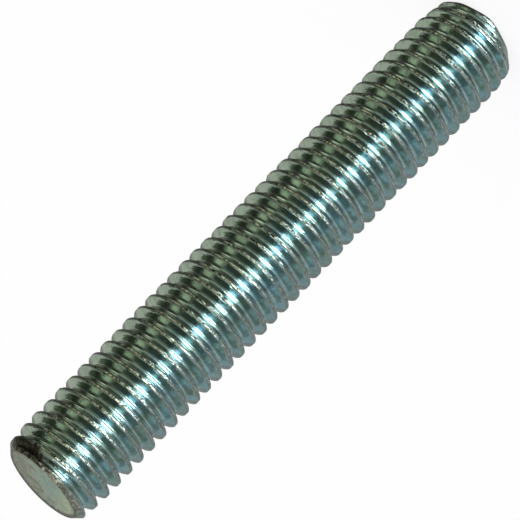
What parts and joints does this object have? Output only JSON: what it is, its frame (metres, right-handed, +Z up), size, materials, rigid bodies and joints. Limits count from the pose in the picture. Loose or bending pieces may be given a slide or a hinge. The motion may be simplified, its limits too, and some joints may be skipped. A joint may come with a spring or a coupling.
{
  "type": "threaded rod",
  "caption": "Straight metric threaded rod with a right-hand thread along its whole length and a flat, chamfered face at each end.",
  "frame": {"origin": "centre of the lower end face, on the surface that the rod stands on", "axes": "+Z up along the rod's axis, towards the upper end face; +X points at a crest at the origin's height"},
  "size_m": [0.0098, 0.0098, 0.06],
  "materials": {
    "zinc_plated_steel": "satin"
  },
  "bodies": {
    "root": {"threaded_rod": "zinc_plated_steel"}
  },
  "joints": []
}
